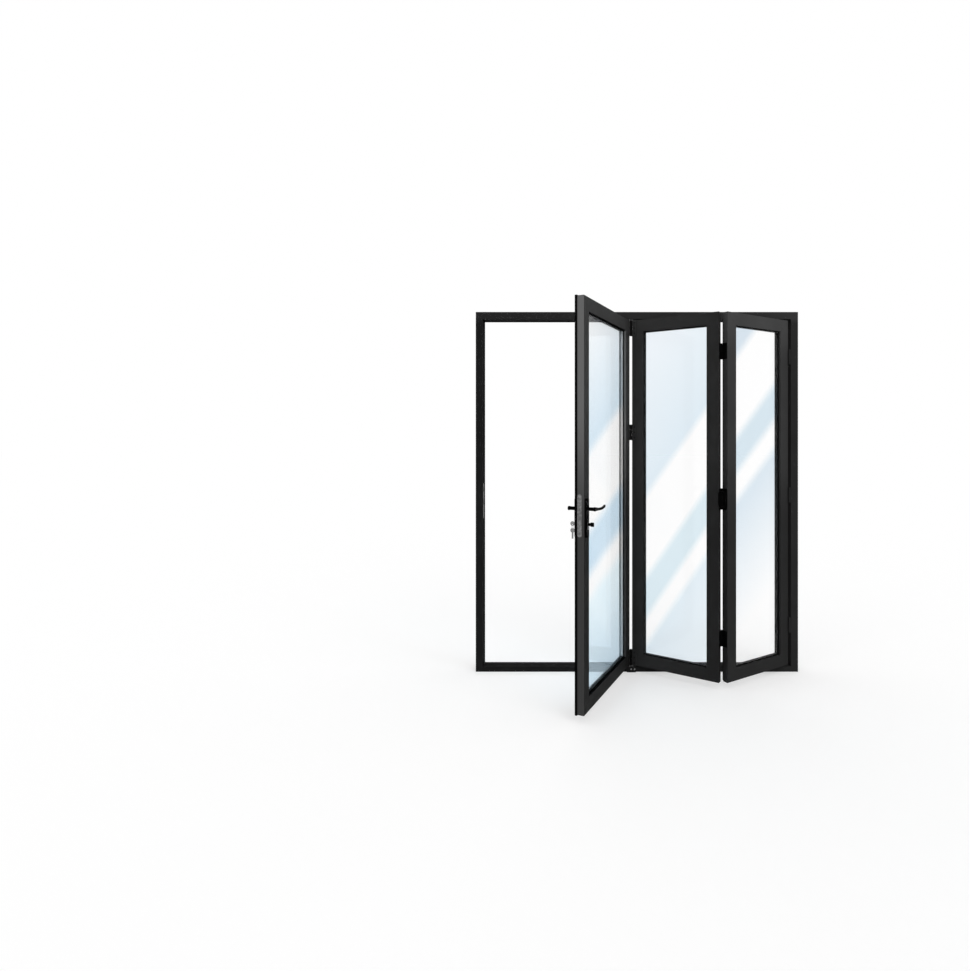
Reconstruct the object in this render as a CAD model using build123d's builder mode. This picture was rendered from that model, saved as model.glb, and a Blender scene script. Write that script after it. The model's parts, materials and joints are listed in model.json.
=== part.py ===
"""Three-leaf bifold patio door set in its outer frame, half folded, with its entrance leaf swung open.

Millimetres. X runs along the doorway, Y from the viewer through the doorway, Z up.
The origin is on the sill's underside, in the middle of the frame's width and depth.
"""

import os
from math import cos, radians, sin

from build123d import *

os.makedirs("parts", exist_ok=True)

# Outer frame
frame_width = 1820.0
frame_height = 2032.0
frame_depth = 70.0
frame_face = 40.0
frame_wall = 2.5
sill_height = 30.0
stop_height = 6.0
stop_depth = 10.0

# Track in the head and guide groove in the sill
track_setback = 23.0
slot_width = 12.0
channel_width = 24.0
channel_height = 18.0
channel_floor = 4.0
groove_depth = 12.0

# Screw holes through the jambs
fixing_count = 4
fixing_end = 161.0
fixing_radius = 4.0
fixing_setback = 46.0

# Leaves
swing_leaf_extra = 219.0
leaf_thickness = 45.0
leaf_setback = 10.0
leaf_face = 66.0
leaf_wall = 2.5
leaf_clearance = 8.0
leaf_gap = 8.0
closing_gap = 6.0

# How far the door stands open
fold_angle = 32.5
swing_angle = 65.6

# Glazing, counted from a leaf's front face inwards
rebate_height = 14.0
lip_depth = 12.0
gasket_depth = 3.0
pane_thickness = 4.0
pane_cavity = 12.0
glass_edge_gap = 2.0
gasket_lip = 4.0

# Perimeter seal of the swing leaf
seal_stand = 3.0
seal_depth = 11.0

# Hinges
pivot_offset = 7.0
jamb_gap = 7.0
barrel_radius = 6.5
pin_radius = 3.0
pin_clearance = 0.08
knuckle_gap = 0.5
flap_thickness = 4.5
flap_reach = 28.0
hinge_height = 88.0
swing_hinge_drop = 632.0
fold_hinge_height = 84.0
fold_hinge_drop = 206.0
fold_hinge_rise = 227.0
pull_level = 999.0
edge_plate_thickness = 3.0
edge_plate_setback = 4.0

# Rebate in the backs of the two apex stiles, and the apex pivot in it
apex_rebate_front = 30.0
apex_rebate_reach = 12.0
apex_pivot_depth = 36.0

# Pull at the apex
pull_width = 40.0
pull_height = 90.0
pull_depth = 10.0
pull_stand = 12.0
pull_offset = 7.0
pull_radius = 16.0
pull_wall = 9.0
pull_recess = 7.0
pull_neck_width = 24.0
pull_neck_depth = 15.0
pull_hinge_height = 112.0

# Carriage and guide
arm_thickness = 2.7
arm_width = 28.0
arm_margin = 2.0
sliding_gap = 0.3
carriage_length = 60.0
carriage_height = 15.0
carriage_clearance = 2.0
neck_width = 8.0
guide_block_width = 50.0
guide_block_depth = 16.0
guide_block_foot = 3.0
roller_radius = 5.0

# Lock set on the swing leaf
handle_setback = 30.0
spindle_level = 992.0
cylinder_level = 920.0
backplate_width = 34.0
backplate_height = 180.0
backplate_middle = 950.0
backplate_thickness = 8.0
backplate_radius = 6.0
spindle_side = 8.0
spindle_bore = 6.2
lever_neck_radius = 8.5
lever_stand = 29.0
lever_thickness = 9.0
lever_length = 142.0
lever_height = 20.0
lever_round = 2.5
lever_outline = (
    (0.3, -1.0),
    (0.62, -1.15),
    (0.95, -0.5),
    (1.0, 0.25),
    (0.955, 0.8),
    (0.62, 0.05),
    (0.3, 0.35),
)
cylinder_radius = 8.5
cylinder_tail_width = 10.0
cylinder_tail = 24.5
cylinder_stand = 2.0
lock_clearance = 0.3
turn_shaft_radius = 4.0
turn_shaft_depth = 6.0
turn_collar_radius = 7.0
turn_collar_depth = 12.0
turn_wing_width = 8.0
turn_wing_height = 20.0
turn_wing_depth = 15.0
turn_wing_radius = 3.5

# Lock faceplate, bolts and keep
faceplate_width = 22.0
faceplate_height = 200.0
faceplate_middle = 962.0
faceplate_radius = 10.0
faceplate_thickness = 3.0
faceplate_stand = 0.5
bolt_thickness = 12.0
latch_level = 1025.0
latch_height = 18.0
latch_throw = 10.0
latch_length = 34.0
dead_bolt_level = 955.0
dead_bolt_height = 28.0
dead_bolt_length = 36.0
bolt_clearance = 0.4
keep_thickness = 2.0
keep_clearance = 2.0

# Keys
key_thickness = 2.5
key_bow_radius = 11.0
key_bow_stand = 14.0
key_blade_width = 8.0
key_blade_length = 28.0
key_hole_radius = 2.5
key_hole_drop = 7.0
ring_radius = 9.0
ring_wire = 0.9
ring_clearance = 0.1

# Sizes that follow from the ones above
opening_half = frame_width / 2 - frame_face
head_underside = frame_height - frame_face
leaf_bottom = sill_height + leaf_clearance
leaf_top = head_underside - leaf_clearance
half_gap = leaf_gap / 2
rebate_face = leaf_face - rebate_height
glass_edge = rebate_face + glass_edge_gap
front_pane = lip_depth + gasket_depth
rear_pane = front_pane + pane_thickness + pane_cavity
bead_depth = rear_pane + pane_thickness + gasket_depth
leaf_run = 2 * opening_half - jamb_gap - 5 * half_gap - closing_gap
fold_leaf_width = (leaf_run - swing_leaf_extra) / 3
swing_leaf_width = fold_leaf_width + swing_leaf_extra
fixing_pitch = (frame_height - 2 * fixing_end) / (fixing_count - 1)
fold_hinge_levels = {
    "top": leaf_top - fold_hinge_drop,
    "middle": pull_level,
    "bottom": leaf_bottom + fold_hinge_rise,
}

# The outer frame as a plane: X along the doorway, Y into its depth from the front face, Z up
frame_plane = Plane(origin=(0, -frame_depth / 2, 0), x_dir=(1, 0, 0), z_dir=(0, 0, 1))

# Upright pivot lines of the folding pair and the swing leaf, on the front faces' side
pivot_y = -frame_depth / 2 + leaf_setback - pivot_offset
fold_span = (fold_leaf_width + leaf_gap) * cos(radians(fold_angle))
fold_rise = (apex_pivot_depth + pivot_offset) * sin(radians(fold_angle))
jamb_pivot = Vector(opening_half - jamb_gap, pivot_y, 0)
swing_pivot = jamb_pivot - Vector(2 * (fold_span + fold_rise), 0, 0)


def leaf_plane(pivot, across, depth, angle):
    """Plane of a leaf turned about a pivot line: X along the leaf, Y into its depth, Z up."""
    along = Vector(1, 0, 0).rotate(Axis.Z, angle)
    inward = Vector(0, 1, 0).rotate(Axis.Z, angle)
    return Plane(origin=pivot - along * across - inward * depth, x_dir=along, z_dir=(0, 0, 1))


swing_leaf = leaf_plane(swing_pivot, swing_leaf_width + half_gap, -pivot_offset, swing_angle)
through_leaf = Axis(swing_leaf.origin, swing_leaf.y_dir)
middle_leaf = leaf_plane(swing_pivot, -half_gap, -pivot_offset, -fold_angle)
jamb_leaf = leaf_plane(jamb_pivot, fold_leaf_width + half_gap, -pivot_offset, fold_angle)


def face_of(leaf, depth=0.0):
    """Upright plane parallel to a leaf's front face, at a depth behind it."""
    return Plane(origin=leaf.origin + leaf.y_dir * depth, x_dir=leaf.x_dir, z_dir=-leaf.y_dir)


def edge_of(leaf, across=0.0):
    """Upright plane across a leaf's thickness: X into the depth, Y up, facing along the leaf."""
    return Plane(origin=leaf.origin + leaf.x_dir * across, x_dir=leaf.y_dir, z_dir=leaf.x_dir)


def slab(plane, low, high, height, mode=Mode.ADD):
    """Box on a plane between two opposite corners, with a height along the plane's normal."""
    with BuildSketch(plane) as outline:
        Polygon(low, (high[0], low[1]), high, (low[0], high[1]))
    extrude(outline.sketch, amount=height, mode=mode)


def rod(plane, centre, radius, height, mode=Mode.ADD):
    """Round bar on a plane."""
    with BuildSketch(plane) as outline:
        with Locations(centre):
            Circle(radius)
    extrude(outline.sketch, amount=height, mode=mode)


def euro_profile(clearance):
    """Outline of the lock cylinder: a round top with a narrower tail below it."""
    tail = (handle_setback, cylinder_level - cylinder_tail / 2)
    with Locations((handle_setback, cylinder_level)):
        Circle(cylinder_radius + clearance)
    with Locations(tail):
        Rectangle(cylinder_tail_width + 2 * clearance, cylinder_tail + 2 * clearance)


# Head of the frame, with its hanging track
section = edge_of(frame_plane, -opening_half)
track_front = track_setback - channel_width / 2
track_back = track_setback + channel_width / 2
channel_low = head_underside + channel_floor
channel_high = channel_low + channel_height
with BuildPart() as frame_head:
    with BuildSketch(section):
        Polygon(
            (0, head_underside),
            (frame_depth - stop_depth, head_underside),
            (frame_depth - stop_depth, head_underside - stop_height),
            (frame_depth, head_underside - stop_height),
            (frame_depth, frame_height),
            (0, frame_height),
        )
    extrude(amount=2 * opening_half)
    slab(section, (track_front, channel_low), (track_back, channel_high), 2 * opening_half, Mode.SUBTRACT)
    slab(
        section,
        (track_setback - slot_width / 2, head_underside),
        (track_setback + slot_width / 2, channel_low),
        2 * opening_half,
        Mode.SUBTRACT,
    )
    slab(
        section,
        (frame_wall, channel_high + frame_wall),
        (frame_depth - frame_wall, frame_height - frame_wall),
        2 * opening_half,
        Mode.SUBTRACT,
    )
    slab(
        section,
        (track_back + frame_wall, head_underside + frame_wall),
        (frame_depth - frame_wall, channel_high),
        2 * opening_half,
        Mode.SUBTRACT,
    )
frame_head.part.label = "frame_head"
export_step(frame_head.part, "parts/frame_head.step")

# Low sill, with its guide groove
groove_front = track_setback - slot_width / 2
groove_back = track_setback + slot_width / 2
groove_floor = sill_height - groove_depth
with BuildPart() as frame_sill:
    slab(section, (0, 0), (frame_depth, sill_height), 2 * opening_half)
    slab(section, (groove_front, groove_floor), (groove_back, sill_height), 2 * opening_half, Mode.SUBTRACT)
    slab(
        section,
        (frame_wall, frame_wall),
        (frame_depth - frame_wall, groove_floor - frame_wall),
        2 * opening_half,
        Mode.SUBTRACT,
    )
    for front, back in (
        (frame_wall, groove_front - frame_wall),
        (groove_back + frame_wall, frame_depth - frame_wall),
    ):
        slab(section, (front, groove_floor), (back, sill_height - frame_wall), 2 * opening_half, Mode.SUBTRACT)
frame_sill.part.label = "frame_sill"
export_step(frame_sill.part, "parts/frame_sill.step")

# Places of the latch and the dead bolt when the swing leaf is shut: depth, height and level
bolt_depth = leaf_setback + leaf_thickness / 2
bolt_windows = (
    (latch_level, latch_height),
    (dead_bolt_level, dead_bolt_height),
)


def jamb(name, side):
    """One hollow jamb, full height, with its stop, screw holes and, on the left, pockets for the bolts."""
    inner = side * opening_half
    outer = side * frame_width / 2
    stop_high = head_underside - stop_height
    with BuildPart() as post:
        slab(frame_plane, (inner, 0), (outer, frame_depth), frame_height)
        slab(
            frame_plane.offset(sill_height),
            (inner, frame_depth - stop_depth),
            (inner - side * stop_height, frame_depth),
            stop_high - sill_height,
        )
        slab(
            frame_plane.offset(frame_wall),
            (inner + side * frame_wall, frame_wall),
            (outer - side * frame_wall, frame_depth - frame_wall),
            frame_height - 2 * frame_wall,
            Mode.SUBTRACT,
        )
        across = edge_of(frame_plane, min(inner, outer))
        for index in range(fixing_count):
            level = fixing_end + index * fixing_pitch
            rod(across, (fixing_setback, level), fixing_radius, frame_face, Mode.SUBTRACT)
        if side < 0:
            for level, height in bolt_windows:
                half_width = bolt_thickness / 2 + keep_clearance
                half_height = height / 2 + keep_clearance
                slab(
                    edge_of(frame_plane, inner - frame_wall),
                    (bolt_depth - half_width, level - half_height),
                    (bolt_depth + half_width, level + half_height),
                    frame_wall,
                    Mode.SUBTRACT,
                )
    post.part.label = name
    export_step(post.part, f"parts/{name}.step")


jamb("frame_left_jamb", -1)
jamb("frame_right_jamb", 1)

# Lock keep on the left jamb
with BuildPart() as lock_keep:
    with BuildSketch(edge_of(frame_plane, -opening_half)):
        with Locations((bolt_depth, faceplate_middle)):
            RectangleRounded(faceplate_width, faceplate_height, faceplate_radius)
        for level, height in bolt_windows:
            with Locations((bolt_depth, level)):
                Rectangle(bolt_thickness + 2 * keep_clearance, height + 2 * keep_clearance, mode=Mode.SUBTRACT)
    extrude(amount=keep_thickness)
lock_keep.part.label = "lock_keep"
export_step(lock_keep.part, "parts/lock_keep.step")


def member_outline(side, width, face):
    """Corners of one mitred member of a leaf's frame, seen from the front."""
    low = leaf_bottom
    high = leaf_top
    return {
        "bottom_rail": ((0, low), (width, low), (width - face, low + face), (face, low + face)),
        "top_rail": ((0, high), (face, high - face), (width - face, high - face), (width, high)),
        "left_stile": ((0, low), (face, low + face), (face, high - face), (0, high)),
        "right_stile": ((width, low), (width, high), (width - face, high - face), (width - face, low + face)),
    }[side]


def member_chamber(side, width):
    """Opposite corners of the hollow that runs along one member, from mitre to mitre."""
    near = leaf_wall
    far = rebate_face - leaf_wall
    return {
        "bottom_rail": ((0, leaf_bottom + near), (width, leaf_bottom + far)),
        "top_rail": ((0, leaf_top - far), (width, leaf_top - near)),
        "left_stile": ((near, leaf_bottom), (far, leaf_top)),
        "right_stile": ((width - far, leaf_bottom), (width - near, leaf_top)),
    }[side]


def behind_rebate(low, high, width, rebated):
    """Opposite corners of a member's hollow where it passes behind the apex rebate's front wall."""
    reach = apex_rebate_reach + leaf_wall
    if rebated == "left_stile":
        return (max(low[0], reach), low[1]), high
    if rebated == "right_stile":
        return low, (min(high[0], width - reach), high[1])
    return low, high


def apex_rebate(width, rebated):
    """Opposite corners, seen from the front, of what the apex rebate takes off a leaf's back."""
    if rebated == "left_stile":
        return (0, leaf_bottom), (apex_rebate_reach, leaf_top)
    return (width - apex_rebate_reach, leaf_bottom), (width, leaf_top)


def ring(leaf, width, outer, inner, front, back):
    """Rectangular ring that follows a leaf's frame, between two insets and two depths."""
    with BuildSketch(face_of(leaf, front)) as outline:
        Polygon(
            (outer, leaf_bottom + outer),
            (width - outer, leaf_bottom + outer),
            (width - outer, leaf_top - outer),
            (outer, leaf_top - outer),
        )
        Polygon(
            (inner, leaf_bottom + inner),
            (width - inner, leaf_bottom + inner),
            (width - inner, leaf_top - inner),
            (inner, leaf_top - inner),
            mode=Mode.SUBTRACT,
        )
    extrude(outline.sketch, amount=front - back)


def frame_member(name, leaf, width, side, rebated=None, cutter=None):
    """One mitred hollow member of a leaf, with its lip in front and its glazing rebate behind.

    The leaf's rebated stile, where it has one, is cut back behind for the apex hinges.
    """
    with BuildPart() as member:
        with BuildSketch(face_of(leaf)):
            Polygon(*member_outline(side, width, leaf_face))
        extrude(amount=-lip_depth)
        with BuildSketch(face_of(leaf, lip_depth)):
            Polygon(*member_outline(side, width, rebate_face))
        extrude(amount=lip_depth - leaf_thickness)
        low, high = member_chamber(side, width)
        slab(face_of(leaf, leaf_wall), low, high, 2 * leaf_wall - apex_rebate_front, Mode.SUBTRACT)
        low, high = behind_rebate(low, high, width, rebated)
        rear_chamber = face_of(leaf, apex_rebate_front - leaf_wall)
        slab(rear_chamber, low, high, apex_rebate_front - leaf_thickness, Mode.SUBTRACT)
        if rebated is not None:
            low, high = apex_rebate(width, rebated)
            rebate = face_of(leaf, apex_rebate_front)
            slab(rebate, low, high, apex_rebate_front - leaf_thickness, Mode.SUBTRACT)
        if cutter is not None:
            add(cutter, mode=Mode.SUBTRACT)
    member.part.label = name
    export_step(member.part, f"parts/{name}.step")


def glazing(name, leaf, width):
    """Sealed double pane, gasket around its edge, and the beads that hold it from behind."""
    with BuildPart() as glass:
        for depth in (front_pane, rear_pane):
            slab(
                face_of(leaf, depth),
                (glass_edge, leaf_bottom + glass_edge),
                (width - glass_edge, leaf_top - glass_edge),
                -pane_thickness,
            )
    glass.part.label = f"{name}_glass"
    export_step(glass.part, f"parts/{name}_glass.step")

    sight = leaf_face + gasket_lip
    with BuildPart() as gasket:
        ring(leaf, width, rebate_face, sight, lip_depth, front_pane)
        ring(leaf, width, rebate_face, glass_edge, front_pane, rear_pane + pane_thickness)
        ring(leaf, width, rebate_face, sight, rear_pane + pane_thickness, bead_depth)
    gasket.part.label = f"{name}_gasket"
    export_step(gasket.part, f"parts/{name}_gasket.step")

    with BuildPart() as beads:
        ring(leaf, width, rebate_face, leaf_face, bead_depth, leaf_thickness)
    beads.part.label = f"{name}_beads"
    export_step(beads.part, f"parts/{name}_beads.step")


# What the lock takes out of the swing leaf's free stile
with BuildPart() as lock_cutter:
    with BuildSketch(face_of(swing_leaf)):
        with Locations((handle_setback, spindle_level)):
            Circle(spindle_bore)
        euro_profile(lock_clearance)
    extrude(amount=-leaf_thickness)
    with BuildSketch(edge_of(swing_leaf)):
        with Locations((leaf_thickness / 2, faceplate_middle)):
            RectangleRounded(faceplate_width, faceplate_height, faceplate_radius)
    extrude(amount=leaf_wall)

for leaf_name, plane, leaf_width, rebated in (
    ("swing_leaf", swing_leaf, swing_leaf_width, None),
    ("middle_leaf", middle_leaf, fold_leaf_width, "right_stile"),
    ("jamb_leaf", jamb_leaf, fold_leaf_width, "left_stile"),
):
    for side in ("left_stile", "right_stile", "top_rail", "bottom_rail"):
        has_lock = leaf_name == "swing_leaf" and side == "left_stile"
        cutter = lock_cutter.part if has_lock else None
        frame_member(f"{leaf_name}_{side}", plane, leaf_width, side, rebated, cutter)
    glazing(leaf_name, plane, leaf_width)

# Seal round the back of the swing leaf's top, free and bottom edges
seal_front = leaf_thickness - seal_depth
with BuildPart() as swing_leaf_seal:
    slab(
        face_of(swing_leaf, seal_front),
        (-seal_stand, leaf_bottom - seal_stand),
        (swing_leaf_width, leaf_top + seal_stand),
        -seal_depth,
    )
    slab(
        face_of(swing_leaf, seal_front),
        (0, leaf_bottom),
        (swing_leaf_width, leaf_top),
        -seal_depth,
        Mode.SUBTRACT,
    )
swing_leaf_seal.part.label = "swing_leaf_seal"
export_step(swing_leaf_seal.part, "parts/swing_leaf_seal.step")

# Hinges between swing leaf and middle leaf. The middle leaf's half has the pin and the outer knuckles.
knuckle_half = hinge_height / 6
notch_reach = barrel_radius + knuckle_gap
swing_hinge_levels = {
    "top": leaf_top - hinge_height / 2,
    "middle": leaf_top - swing_hinge_drop,
    "bottom": leaf_bottom + hinge_height / 2,
}


def knuckle_bands(level, outer):
    """Heights between which a hinge half carries the barrel."""
    low = level - hinge_height / 2
    high = level + hinge_height / 2
    if outer:
        return ((low, level - knuckle_half - knuckle_gap), (level + knuckle_half + knuckle_gap, high))
    return ((level - knuckle_half, level + knuckle_half),)


def hinge_half(name, leaf, pivot_across, direction, level, outer):
    """Flap on a leaf's front face with its knuckles round the pivot line."""
    centre = (pivot_across, -pivot_offset)
    low = level - hinge_height / 2
    high = level + hinge_height / 2
    reach = pivot_across + direction * (half_gap + flap_reach)
    with BuildPart() as half:
        slab(
            face_of(leaf, -flap_thickness),
            (pivot_across + direction * notch_reach, low),
            (reach, high),
            -flap_thickness,
        )
        for bottom, top in knuckle_bands(level, outer):
            slab(face_of(leaf, -flap_thickness), (pivot_across, bottom), (reach, top), -flap_thickness)
            rod(leaf.offset(bottom), centre, barrel_radius, top - bottom)
        if outer:
            rod(leaf.offset(low), centre, pin_radius, hinge_height)
        else:
            rod(leaf.offset(low), centre, pin_radius + pin_clearance, hinge_height, Mode.SUBTRACT)
    half.part.label = name
    export_step(half.part, f"parts/{name}.step")


for place, level in swing_hinge_levels.items():
    hinge_half(f"swing_hinge_{place}_fixed", middle_leaf, -half_gap, 1, level, True)
    hinge_half(f"swing_hinge_{place}_moving", swing_leaf, swing_leaf_width + half_gap, -1, level, False)


def jamb_hinge(name, level):
    """Hinge between the jamb leaf and the right jamb, with a plate on the leaf's edge and on the jamb."""
    low = level - fold_hinge_height / 2
    high = level + fold_hinge_height / 2
    pivot_across = fold_leaf_width + half_gap
    plate_depth = leaf_thickness / 2
    with BuildPart() as hinge:
        rod(jamb_leaf.offset(low), (pivot_across, -pivot_offset), barrel_radius, fold_hinge_height)
        slab(
            edge_of(jamb_leaf, fold_leaf_width),
            (-pivot_offset, low),
            (plate_depth, high),
            edge_plate_thickness,
        )
        slab(
            edge_of(frame_plane, opening_half - edge_plate_thickness),
            (leaf_setback - pivot_offset, low),
            (leaf_setback + plate_depth, high),
            edge_plate_thickness,
        )
    hinge.part.label = name
    export_step(hinge.part, f"parts/{name}.step")


# Apex of the folding pair: the pivot is in the stiles' rebates, and the front corners stand apart
apex_pivot = middle_leaf.from_local_coords((fold_leaf_width + half_gap, apex_pivot_depth, 0))
front_corner = middle_leaf.from_local_coords((fold_leaf_width, 0, 0))
pull_plane = Plane(
    origin=(apex_pivot.X, front_corner.Y - pull_stand, 0),
    x_dir=(1, 0, 0),
    z_dir=(0, -1, 0),
)


def apex_hinge(name, level):
    """Hinge between the folding leaves: plates on their edges, a barrel, and at mid height the pull."""
    has_pull = level == fold_hinge_levels["middle"]
    height = pull_hinge_height if has_pull else fold_hinge_height
    low = level - height / 2
    high = level + height / 2
    with BuildPart() as hinge:
        for leaf, edge, direction in ((middle_leaf, fold_leaf_width, 1), (jamb_leaf, 0, -1)):
            slab(
                face_of(leaf, edge_plate_setback),
                (edge, low),
                (edge + direction * edge_plate_thickness, high),
                edge_plate_setback - apex_pivot_depth,
            )
        rod(Plane.XY.offset(low), (apex_pivot.X, apex_pivot.Y), barrel_radius, height)
        if has_pull:
            neck_half = pull_height / 2 - pull_radius
            recess_width = pull_width - 2 * pull_wall
            recess_height = pull_height - 2 * pull_wall
            slab(
                pull_plane.offset(-pull_depth),
                (-pull_neck_width / 2, level - neck_half),
                (pull_neck_width / 2, level + neck_half),
                pull_depth - pull_stand - pull_neck_depth,
            )
            with BuildSketch(pull_plane):
                with Locations((-pull_offset, level)):
                    RectangleRounded(pull_width, pull_height, pull_radius)
            extrude(amount=-pull_depth)
            with BuildSketch(pull_plane):
                with Locations((-pull_offset, level)):
                    RectangleRounded(recess_width, recess_height, pull_radius - pull_wall)
            extrude(amount=-pull_recess, mode=Mode.SUBTRACT)
    hinge.part.label = name
    export_step(hinge.part, f"parts/{name}.step")


for place, level in fold_hinge_levels.items():
    apex_hinge(f"apex_hinge_{place}", level)
    jamb_hinge(f"jamb_hinge_{place}", level)

# Carriage that hangs the swing pivot from the head's track
arm_front = leaf_setback - pivot_offset - pin_radius - arm_margin
arm_back = track_setback + neck_width / 2
arm_low = head_underside - sliding_gap - arm_thickness
centre_x = swing_pivot.X
with BuildPart() as top_carriage:
    slab(
        frame_plane.offset(channel_low + sliding_gap),
        (centre_x - carriage_length / 2, track_front + carriage_clearance),
        (centre_x + carriage_length / 2, track_back - carriage_clearance),
        carriage_height,
    )
    slab(
        frame_plane.offset(arm_low),
        (centre_x - arm_width / 2, track_setback - neck_width / 2),
        (centre_x + arm_width / 2, arm_back),
        channel_low + sliding_gap - arm_low,
    )
    slab(
        frame_plane.offset(arm_low),
        (centre_x - arm_width / 2, arm_front),
        (centre_x + arm_width / 2, arm_back),
        arm_thickness,
    )
    rod(Plane.XY.offset(leaf_top), (centre_x, pivot_y), pin_radius, arm_low - leaf_top)
top_carriage.part.label = "top_carriage"
export_step(top_carriage.part, "parts/top_carriage.step")

# Guide at the foot of the swing pivot: a block before the sill, an arm over it and a roller in its groove
guide_arm_low = sill_height + sliding_gap
guide_arm_high = guide_arm_low + arm_thickness
with BuildPart() as bottom_guide:
    slab(
        frame_plane.offset(guide_block_foot),
        (centre_x - guide_block_width / 2, -guide_block_depth),
        (centre_x + guide_block_width / 2, -sliding_gap),
        guide_arm_high - guide_block_foot,
    )
    slab(
        frame_plane.offset(guide_arm_low),
        (centre_x - arm_width / 2, -guide_block_depth / 2),
        (centre_x + arm_width / 2, arm_back),
        arm_thickness,
    )
    rod(
        frame_plane.offset(groove_floor + sliding_gap),
        (centre_x, track_setback),
        roller_radius,
        guide_arm_low - groove_floor,
    )
    rod(Plane.XY.offset(guide_arm_high), (centre_x, pivot_y), pin_radius, leaf_bottom - guide_arm_high)
bottom_guide.part.label = "bottom_guide"
export_step(bottom_guide.part, "parts/bottom_guide.step")


def backplate(name, front):
    """Long plate under a lever, pierced for the spindle and the cylinder."""
    with BuildPart() as plate:
        with BuildSketch(face_of(swing_leaf, front)):
            with Locations((handle_setback, backplate_middle)):
                RectangleRounded(backplate_width, backplate_height, backplate_radius)
        extrude(amount=-backplate_thickness)
        with BuildSketch(face_of(swing_leaf, front)) as holes:
            with Locations((handle_setback, spindle_level)):
                Circle(spindle_bore)
            euro_profile(lock_clearance)
        extrude(holes.sketch, amount=-backplate_thickness, mode=Mode.SUBTRACT)
    plate.part.label = name
    export_step(plate.part, f"parts/{name}.step")


backplate("front_backplate", -backplate_thickness)
backplate("rear_backplate", leaf_thickness)


def lever(name, arm_front, neck_front, spindle_front=None):
    """Curved lever: a round neck off the backplate and an arm that ends in a raised tip.

    Its outline runs under the arm, round the tip and back over the arm. The points are shares
    of the lever's length and of half its height, and the middle one is the tip.
    """
    middle = spindle_level
    left = handle_setback
    half = lever_height / 2
    points = [(left + x * lever_length, middle + y * half) for x, y in lever_outline]
    tip = len(points) // 2
    with BuildPart() as handle:
        with BuildSketch(face_of(swing_leaf, arm_front)):
            with BuildLine():
                Spline((left, middle - half), *points[:tip])
                ThreePointArc(points[tip - 1], points[tip], points[tip + 1])
                Spline(*points[tip + 1 :], (left, middle + half))
                ThreePointArc((left, middle + half), (left - half, middle), (left, middle - half))
            make_face()
        extrude(amount=-lever_thickness)
        fillet(handle.edges().filter_by(through_leaf, reverse=True), lever_round)
        rod(face_of(swing_leaf, neck_front), (left, middle), lever_neck_radius, -lever_stand)
        if spindle_front is not None:
            reach = spindle_side / 2
            slab(
                face_of(swing_leaf, spindle_front),
                (left - reach, middle - reach),
                (left + reach, middle + reach),
                -(leaf_thickness + 2 * backplate_thickness + 2 * lock_clearance),
            )
    handle.part.label = name
    export_step(handle.part, f"parts/{name}.step")


neck_back = -backplate_thickness - lock_clearance
lever(
    "front_lever",
    arm_front=neck_back - lever_stand - lever_thickness,
    neck_front=neck_back - lever_stand,
)
rear_neck = leaf_thickness + backplate_thickness + lock_clearance
lever(
    "rear_lever",
    arm_front=rear_neck + lever_stand,
    neck_front=rear_neck,
    spindle_front=neck_back,
)

# Lock cylinder through the stile and both plates, with the seat of the thumb-turn's shaft
cylinder_front = -backplate_thickness - cylinder_stand
cylinder_back = leaf_thickness + backplate_thickness + cylinder_stand
cylinder_centre = (handle_setback, cylinder_level)
with BuildPart() as lock_cylinder:
    with BuildSketch(face_of(swing_leaf, cylinder_front)):
        euro_profile(0)
    extrude(amount=cylinder_front - cylinder_back)
    rod(
        face_of(swing_leaf, cylinder_front),
        cylinder_centre,
        turn_shaft_radius + pin_clearance,
        -turn_shaft_depth,
        Mode.SUBTRACT,
    )
lock_cylinder.part.label = "lock_cylinder"
export_step(lock_cylinder.part, "parts/lock_cylinder.step")

# Thumb-turn
turn_back = cylinder_front - lock_clearance
turn_collar_front = turn_back - turn_collar_depth
with BuildPart() as thumb_turn:
    rod(face_of(swing_leaf, turn_back), cylinder_centre, turn_shaft_radius, -turn_shaft_depth)
    rod(face_of(swing_leaf, turn_collar_front), cylinder_centre, turn_collar_radius, -turn_collar_depth)
    with BuildSketch(face_of(swing_leaf, turn_collar_front - turn_wing_depth)):
        with Locations(cylinder_centre):
            RectangleRounded(turn_wing_width, turn_wing_height, turn_wing_radius)
    extrude(amount=-turn_wing_depth)
thumb_turn.part.label = "thumb_turn"
export_step(thumb_turn.part, "parts/thumb_turn.step")

# Lock faceplate, let into the leaf's free edge
with BuildPart() as lock_faceplate:
    with BuildSketch(edge_of(swing_leaf, -faceplate_stand)):
        with Locations((leaf_thickness / 2, faceplate_middle)):
            RectangleRounded(
                faceplate_width - 2 * sliding_gap,
                faceplate_height - 2 * sliding_gap,
                faceplate_radius - sliding_gap,
            )
        for level, height in bolt_windows:
            with Locations((leaf_thickness / 2, level)):
                Rectangle(bolt_thickness + 2 * bolt_clearance, height + 2 * bolt_clearance, mode=Mode.SUBTRACT)
    extrude(amount=faceplate_thickness)
lock_faceplate.part.label = "lock_faceplate"
export_step(lock_faceplate.part, "parts/lock_faceplate.step")

# Latch bolt, thrown, with its sloped nose
latch_front = leaf_thickness / 2 - bolt_thickness / 2
latch_back = leaf_thickness / 2 + bolt_thickness / 2
latch_plane = swing_leaf.offset(latch_level - latch_height / 2)
with BuildPart() as latch_bolt:
    with BuildSketch(latch_plane):
        Polygon(
            (-faceplate_stand - latch_throw, latch_back),
            (-faceplate_stand, latch_front),
            (latch_length - latch_throw, latch_front),
            (latch_length - latch_throw, latch_back),
        )
    extrude(amount=latch_height)
latch_bolt.part.label = "latch_bolt"
export_step(latch_bolt.part, "parts/latch_bolt.step")

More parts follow.
